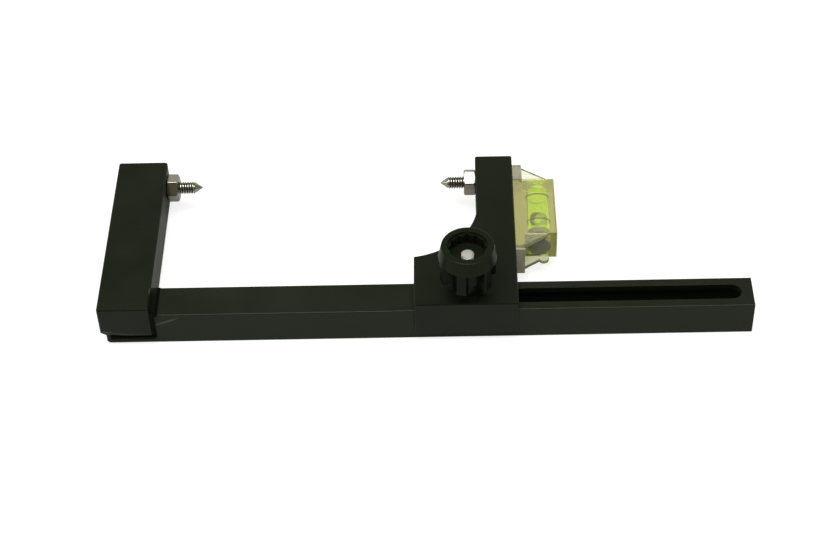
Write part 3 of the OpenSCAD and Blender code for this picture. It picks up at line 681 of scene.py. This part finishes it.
def long_round(name, grown, at):
    """Flattened long round of the bubble."""
    leave()
    bpy.ops.mesh.primitive_uv_sphere_add(segments=48, ring_count=32, radius=4.7 * MM)
    shape = bpy.context.object
    shape.scale = (grown, 1.3 * grown, 0.5 * grown)
    return fixed(shape, name, at)


def make_bubble():
    """Long air bubble that lies against the vial's top at the near end."""
    bubble = long_round("air_bubble", 1, BUBBLE)
    inside = CHAMBER_R - 0.02
    vial = turned("vial", [(0, PLUG_END + 0.3), (inside, PLUG_END + 0.3), (inside, 60), (0, 60)], 96)
    return combine(bubble, [fixed(vial, None, (CHAMBER_X, 0, CHAMBER_Z), (-90, 0, 0))], "INTERSECT")


def make_ring(name, y):
    """Reading ring, just outside the fluid."""
    inner, outer = CHAMBER_R + 0.03, CHAMBER_R + 0.25
    ring = turned(name, [(inner, -0.38), (outer, -0.33), (outer, 0.33), (inner, 0.38), (inner, -0.38)], 96,
                  loop=True)
    return fixed(ring, name, (CHAMBER_X, y, CHAMBER_Z), (-90, 0, 0))


def make_plug():
    """Plug with a head outside the block and a groove for its seal."""
    r, groove = CHAMBER_R - 0.05, CHAMBER_R - 0.9
    plug = turned("end_plug", [(0, -1.2), (5.3, -1.2), (5.62, -1.05), (5.75, -0.8), (5.75, 0), (r, 0), (r, 2.05),
                               (groove, 2.05), (groove, 2.95), (r, 2.95), (r, PLUG_LONG - 0.2),
                               (r - 0.2, PLUG_LONG), (0, PLUG_LONG)], 96)
    return fixed(plug, "end_plug", (CHAMBER_X, BLOCK_NEAR, CHAMBER_Z), (-90, 0, 0))


def make_level_screws():
    """Countersunk screws with a driver slot, one for each end of the flange."""
    shank = threaded("shank", 8.2, 1.75, 1.35, 0.7, 24)
    fixed(shank, None, (0, 0, 1.3))
    head = turned("level_screw", [(0, 0.05), (3.1, 0.05), (3.22, 0.15), (1.6, 1.75), (1.6, 2.2), (0, 2.2)], 48)
    combine(head, [shank], "UNION")
    combine(head, [block("driver_slot", (-4, -0.4, -1), (4, 0.4, 0.95))])
    pair = [twin(head, "level_screw_" + end, (FLANGE_X, LEVEL_Y + s * SCREW_OFFSET, CHAMBER_Z), (0, -90, 0))
            for end, s in (("near", -1), ("far", 1))]
    bpy.data.objects.remove(head)
    return pair


# ---------------------------------------------------------------- finishes

def anodised(name, low, high, shine, grain=(0.05, 1, 1), rough=(0.34, 0.42), painted_light_streak=None):
    """Black anodised aluminium: fine tooth, slight cloudiness, a little paler along its worn edges, with a painted
    light streak where one is given, and painted shade that makes bevels which slant upwards almost black."""
    f = Finish(name)
    at = f.place()
    cloud = f.noise(at, 38, 4, 0.55)
    tone = f.ramp(cloud, (0.3, low), (0.72, high))
    speck = f.ramp(f.noise(at, 2600, 2, 0.6), (0.62, 0.0), (0.78, 1.0))
    tone = f.mix(speck, tone, tuple(c * 1.6 for c in high))
    rounded = f.add("ShaderNodeBevel", {"Radius": 0.0005}, samples=4).outputs[0]
    flat = f.add("ShaderNodeNewGeometry").outputs["Normal"]
    edge = f.add("ShaderNodeVectorMath", {0: rounded, 1: flat}, operation="DOT_PRODUCT").outputs["Value"]
    worn = f.mix(f.noise(at, 160, 4, 0.7), (0, 0, 0), f.ramp(edge, (0.7, 1.0), (0.97, 0.0)))
    tone = f.mix(f.ramp(worn, (0.25, 0.0), (0.6, 0.6)), tone, tuple(c * 2.0 for c in high))
    # Painted shade: faces that slant upwards at about 45 degrees are darkened almost to black.
    facing_up = f.add("ShaderNodeSeparateXYZ", {0: f.add("ShaderNodeNewGeometry").outputs["True Normal"]}).outputs["Z"]
    painted_shade_on_slants = f.ramp(facing_up, (0.60, 0.0), (0.66, 1.0), (0.75, 1.0), (0.82, 0.0))
    tone = f.mix(painted_shade_on_slants, tone, (0.0004, 0.0006, 0.0002))
    # Painted highlight: a pale streak mixed in at a given place, turned and stretched.
    if painted_light_streak:
        middle, tilt, size = painted_light_streak
        there = f.place(turn=(0, math.radians(tilt), 0), centre=middle)
        along = f.add("ShaderNodeMapping", {"Vector": there, "Scale": size})
        mark = f.add("ShaderNodeTexGradient", {"Vector": along.outputs[0]}, gradient_type="SPHERICAL").outputs["Fac"]
        tone = f.mix(f.ramp(mark, (0.05, 0.0), (0.45, 1.0)), tone, (0.085, 0.088, 0.066))
    tooth = f.noise(at, 3800, 3, 0.6)
    drawn = f.noise(f.place(scale=grain), 420, 3, 0.6)
    normal = f.bump(tooth, 0.00002, 0.4)
    normal = f.bump(drawn, 0.00002, 0.25, normal)
    return f.surface(Base_Color=tone, Roughness=f.ramp(cloud, (0.3, rough[0]), (0.75, rough[1])), Normal=normal,
                     IOR=1.5, Specular_IOR_Level=shine, Specular_Tint=(0.90, 1.0, 0.80, 1))


def plain(name, colour, rough, metallic=0.0):
    """One even colour with faint grain."""
    f = Finish(name)
    at = f.place()
    tone = f.mix(f.noise(at, 300, 3), tuple(c * 0.85 for c in colour), tuple(min(1, c * 1.1) for c in colour))
    normal = f.bump(f.noise(at, 3000, 2), 0.00001, 0.3)
    return f.surface(Base_Color=tone, Roughness=rough, Metallic=metallic, Normal=normal)


def threaded_steel(name, colour, rough, tip, side):
    """Turned steel with painted shade in its thread's grooves, which are also duller; the cone, towards the tip, is
    clean.
    """
    f = Finish(name)
    at = f.place()
    tone = f.mix(f.noise(at, 500, 3), tuple(c * 0.85 for c in colour), tuple(c * 1.1 for c in colour))
    off = f.place(centre=(tip * MM, POINT_Y * MM, ARM_MID * MM))
    across = f.add("ShaderNodeMapping", {"Vector": off, "Scale": (0, 1, 1)}).outputs[0]
    radius = f.add("ShaderNodeVectorMath", {0: across}, operation="LENGTH").outputs["Value"]
    scaled = f.add("ShaderNodeMath", {0: radius, 1: 250.0}, operation="MULTIPLY").outputs[0]
    depth = f.ramp(scaled, (0.68, 1.0), (0.775, 0.0))
    back = f.add("ShaderNodeMath", {0: f.add("ShaderNodeSeparateXYZ", {0: off}).outputs["X"], 1: -side * 0.0044},
                 operation="LESS_THAN" if side > 0 else "GREATER_THAN").outputs[0]
    # Painted shade: the thread's grooves, away from the cone, are darkened, and they are rougher too.
    groove = f.mix(back, (0, 0, 0), depth)
    tone = f.mix(groove, tone, (0.10, 0.10, 0.075))
    turning = f.noise(f.place(scale=(9000, 60, 60)), 1, 2)
    return f.surface(Base_Color=tone, Roughness=f.ramp(groove, (0.0, rough), (1.0, 0.55)), Metallic=1.0,
                     Normal=f.bump(turning, 0.00001, 0.3))


def bubble_finish(name):
    """Air bubble with painted light: a bright middle, a dark speckled rim where it meets the fluid, painted shade
    darkest on its left, and a faint painted glow.
    """
    f = Finish(name)
    x, y, z = (c * MM for c in BUBBLE)
    at = f.place(centre=(x, y - 0.0007, z))
    round_ = f.add("ShaderNodeMapping", {"Vector": at, "Scale": (230, 180, 0)})
    ring = f.add("ShaderNodeTexGradient", {"Vector": round_.outputs[0]}, gradient_type="SPHERICAL").outputs["Fac"]
    # Painted light: the bubble is dark at its speckled rim and bright in its middle.
    tone = f.ramp(ring, (0.0, (0.10, 0.13, 0.02)), (0.16, (0.012, 0.02, 0.004)), (0.30, (0.16, 0.21, 0.035)),
                  (0.44, (0.26, 0.36, 0.05)), (0.52, (0.62, 0.86, 0.14)), (0.9, (0.90, 1.0, 0.45)))
    # Painted shade: darker towards the bubble's left.
    left = f.ramp(f.add("ShaderNodeMath", {0: f.add("ShaderNodeSeparateXYZ", {0: at}).outputs["X"], 1: 180.0, 2: 0.5},
                        operation="MULTIPLY_ADD").outputs[0], (0.3, 0.0), (0.75, 0.75))
    tone = f.mix(left, tone, (0.50, 0.72, 0.07))
    speck = f.ramp(f.noise(at, 1500, 2, 0.6), (0.48, 0.0), (0.6, 0.5))
    tone = f.mix(speck, tone, (0.46, 0.66, 0.06))
    # The emission is a faint painted glow.
    return f.surface(Base_Color=tone, Emission_Color=tone, Emission_Strength=0.4, Roughness=0.05, IOR=1.1,
                     Transmission_Weight=0.2, Normal=f.bump(f.noise(at, 700, 2), 0.0001, 0.4))


def shade_split_finish(name, axis, at_mm, below, above, rough, **more):
    """One moulding in a darker and a lighter tone, painted shade and painted light, which meet softly at a place along
    one axis.
    """
    f, soft = Finish(name), 0.3
    at = f.place()
    place = f.add("ShaderNodeSeparateXYZ", {0: at}).outputs[axis]
    side = f.add("ShaderNodeMath", {0: place, 1: 1000 / soft, 2: 0.5 - at_mm / soft},
                 operation="MULTIPLY_ADD", use_clamp=True)
    grain = f.noise(at, 300, 3)
    tones = [f.mix(grain, tuple(c * 0.85 for c in colour), tuple(c * 1.12 for c in colour))
             for colour in (below, above)]
    rubbed = f.ramp(f.noise(at, 90, 4, 0.65), (0.35, rough * 0.9), (0.7, rough * 1.15))
    return f.surface(Base_Color=f.mix(side.outputs[0], *tones), Roughness=rubbed,
                     Normal=f.bump(f.noise(at, 3000, 2), 0.00001, 0.3), **more)


def acrylic(name):
    """Moulded acrylic: milky and yellow in the thick block, clearer in the webs, paler in the flange's ends."""
    f = Finish(name)
    at = f.place(centre=(FLANGE_X * MM, LEVEL_Y * MM, 0))
    parts = f.add("ShaderNodeSeparateXYZ", {0: at})
    far = f.add("ShaderNodeMath", {0: parts.outputs["Y"], 1: 0.0204}, operation="GREATER_THAN").outputs[0]
    near_web = f.add("ShaderNodeMath", {0: parts.outputs["Y"], 1: -0.0204}, operation="LESS_THAN").outputs[0]
    near_end = f.add("ShaderNodeMath", {0: parts.outputs["Y"], 1: -0.0308}, operation="LESS_THAN").outputs[0]
    webs = f.add("ShaderNodeMath", {0: parts.outputs["X"], 1: 0.0002}, operation="GREATER_THAN").outputs[0]
    streak = f.noise(f.place(scale=(60, 8, 60)), 6, 3, 0.6)
    block_tone = f.mix(streak, (0.74, 0.73, 0.42), (0.80, 0.79, 0.48))
    near_tone = f.mix(webs, f.mix(near_end, block_tone, (0.95, 0.95, 0.80)),
                      f.mix(near_web, block_tone, (0.80, 0.81, 0.60)))
    near_clear = f.mix(webs, f.mix(near_end, (0.68,) * 3, (0.3,) * 3), f.mix(near_web, (0.68,) * 3, (0.72,) * 3))
    tone = f.mix(far, near_tone, f.mix(webs, (0.80, 0.80, 0.66), (0.90, 0.90, 0.80)))
    clear = f.mix(far, near_clear, f.mix(webs, (0.5,) * 3, (0.92,) * 3))
    volume = f.add("ShaderNodeVolumeAbsorption", {"Color": (0.66, 0.63, 0.10, 1), "Density": 60})
    f.tree.links.new(volume.outputs[0], f.out.inputs["Volume"])
    return f.surface(Base_Color=tone, Roughness=f.ramp(streak, (0.3, 0.02), (0.7, 0.05)), IOR=1.49,
                     Transmission_Weight=clear, Normal=f.bump(f.noise(at, 90, 2), 0.00004, 0.2))


def tinted(name, colour, rough, ior, clearness, body, depth, **more):
    """Clear plastic or liquid, slightly milky, whose colour deepens with its thickness."""
    f = Finish(name)
    at = f.place()
    tone = f.mix(f.noise(at, 120, 2), tuple(c * 0.97 for c in colour), colour)
    normal = f.bump(f.noise(at, 90, 2), 0.00004, 0.2)
    volume = f.add("ShaderNodeVolumeAbsorption", {"Color": (*body, 1), "Density": depth})
    f.tree.links.new(volume.outputs[0], f.out.inputs["Volume"])
    return f.surface(Base_Color=tone, Roughness=rough, IOR=ior, Transmission_Weight=clearness, Normal=normal, **more)


# ---------------------------------------------------------------- putting it together

black = anodised("anodised_arms", (0.0052, 0.0080, 0.0034), (0.0080, 0.0116, 0.0056), 0.37)
# The bar's pale streak on its front face near the weld is a painted reflection of light.
black_bar = anodised("anodised_bar", (0.0084, 0.0122, 0.0060), (0.0122, 0.0170, 0.0090), 0.44,
                     painted_light_streak=((-0.1285, -0.0095, 0.0144), 21.4, (125, 900, 1150)))
# The weld's darker tones are painted shade, and its pale streak along the arm's top edge is a painted highlight.
weld_painted_shade_and_glint = anodised("anodised_weld", (0.004, 0.0056, 0.0026), (0.007, 0.0094, 0.0048), 0.06,
                     grain=(1, 1, 1), rough=(0.40, 0.48), painted_light_streak=((-0.1361, 0.003, 0.0254), 0, (2400, 170, 2000)))
steel = plain("stainless", (0.52, 0.50, 0.43), 0.2, 1.0)
fixed_thread = threaded_steel("stainless_fixed_point", (0.66, 0.64, 0.57), 0.22, FIXED_RIGHT + POINT_REACH, 1)
carriage_thread = threaded_steel("stainless_carriage_point", (0.66, 0.64, 0.57), 0.22,
                                 CARRIAGE_ARM - POINT_REACH, -1)
zinc = plain("zinc_plate", (0.86, 0.86, 0.80), 0.6, 0.6)
brass = plain("brass", (0.72, 0.53, 0.25), 0.3, 1.0)
# Painted shade: the knob's neck and ribs under its head are darker than the head.
moulded = shade_split_finish("moulded_black", "Z", 46.0, (0.0042, 0.0072, 0.0028), (0.0108, 0.0156, 0.0076), 0.32,
                       Specular_IOR_Level=0.2, Specular_Tint=(0.88, 1.0, 0.76, 1))
nylon = plain("nylon_black", (0.015, 0.015, 0.015), 0.4)
# Painted light: the plug is lighter inside the block than at its head outside it.
grey = shade_split_finish("grey_plug", "Y", 37.75, (0.40, 0.43, 0.31), (0.72, 0.74, 0.58), 0.5)
line = plain("ring_black", (0.01, 0.012, 0.008), 0.5)
rubber = plain("seal_rubber", (0.012, 0.012, 0.012), 0.6)
clear = acrylic("clear_acrylic")
# The fluid's emission is a painted glow that brightens it.
fluid = tinted("level_fluid", (0.84, 1.0, 0.07), 0.0, 0.893, 0.84, (0.86, 0.99, 0.03), 80,
               Emission_Color=(0.55, 0.85, 0.01, 1), Emission_Strength=0.3)
air = bubble_finish("air_bubble")

for name, material in (("t_nut", steel), ("knob_washer", nylon), ("knob_insert", brass), ("plug_seal", rubber)):
    nodes[name].data.materials.clear()
    nodes[name].data.materials.append(material)

finished(make_bar(), "frame", black_bar, "black_anodised", "bar")
finished(make_fixed_arm(), "frame", black, "black_anodised", "fixed_arm")
finished(make_weld(), "frame", weld_painted_shade_and_glint, "black_anodised", "weld_bead", angle=60, flatten=False)
finished(make_carriage(), "carriage", black, "black_anodised", "carriage")

fixed_point = fixed(make_point("fixed_point_screw", FIXED_LONG), None,
                    (FIXED_RIGHT + POINT_REACH, POINT_Y, ARM_MID), (0, 90, 0))
finished(fixed_point, "fixed_point", fixed_thread, "stainless", "fixed_point")
carriage_point = fixed(make_point("carriage_point_screw", CARRIAGE_LONG), None,
                       (CARRIAGE_ARM - POINT_REACH, POINT_Y, ARM_MID + SEAT), (0, -90, 0))
finished(carriage_point, "carriage_point", carriage_thread, "stainless", "carriage_point")

nut = make_nut("hex_nut")
left_nut = twin(nut, "fixed_hex_nut", turn=(0, 90, 0))
fixed(left_nut, None, (FIXED_RIGHT + SEAT, POINT_Y, ARM_MID), (22.5, 0, 0))
right_nut = twin(nut, "carriage_hex_nut", turn=(0, -90, 0))
fixed(right_nut, None, (CARRIAGE_ARM - SEAT, POINT_Y, ARM_MID + SEAT), (-6, 0, 0))
bpy.data.objects.remove(nut)
finished(left_nut, "fixed_lock_nut", steel, "stainless", "fixed_lock_nut")
finished(right_nut, "carriage_lock_nut", steel, "stainless", "carriage_lock_nut")

finished(make_stud(), "clamp", zinc, "zinc_steel", "clamp_stud")
finished(make_knob(), "knob", moulded, "black_plastic", "knob")

finished(make_level_housing(), "carriage", clear, "clear_acrylic", "level_housing")
finished(make_fluid(), "carriage", fluid, "level_fluid", "vial_fluid", angle=50, flatten=False)
finished(make_bubble(), "carriage", air, "level_fluid", angle=40, flatten=False)
for name, y in (("near_ring", RING_NEAR), ("far_ring", RING_FAR)):
    finished(make_ring(name, y), "carriage", line, "black_paint", "vial_rings")
finished(make_plug(), "carriage", grey, "grey_plastic", "vial_plug")
for screw in make_level_screws():
    finished(screw, "carriage", zinc, "zinc_steel", "level_screws")

bpy.context.view_layer.update()
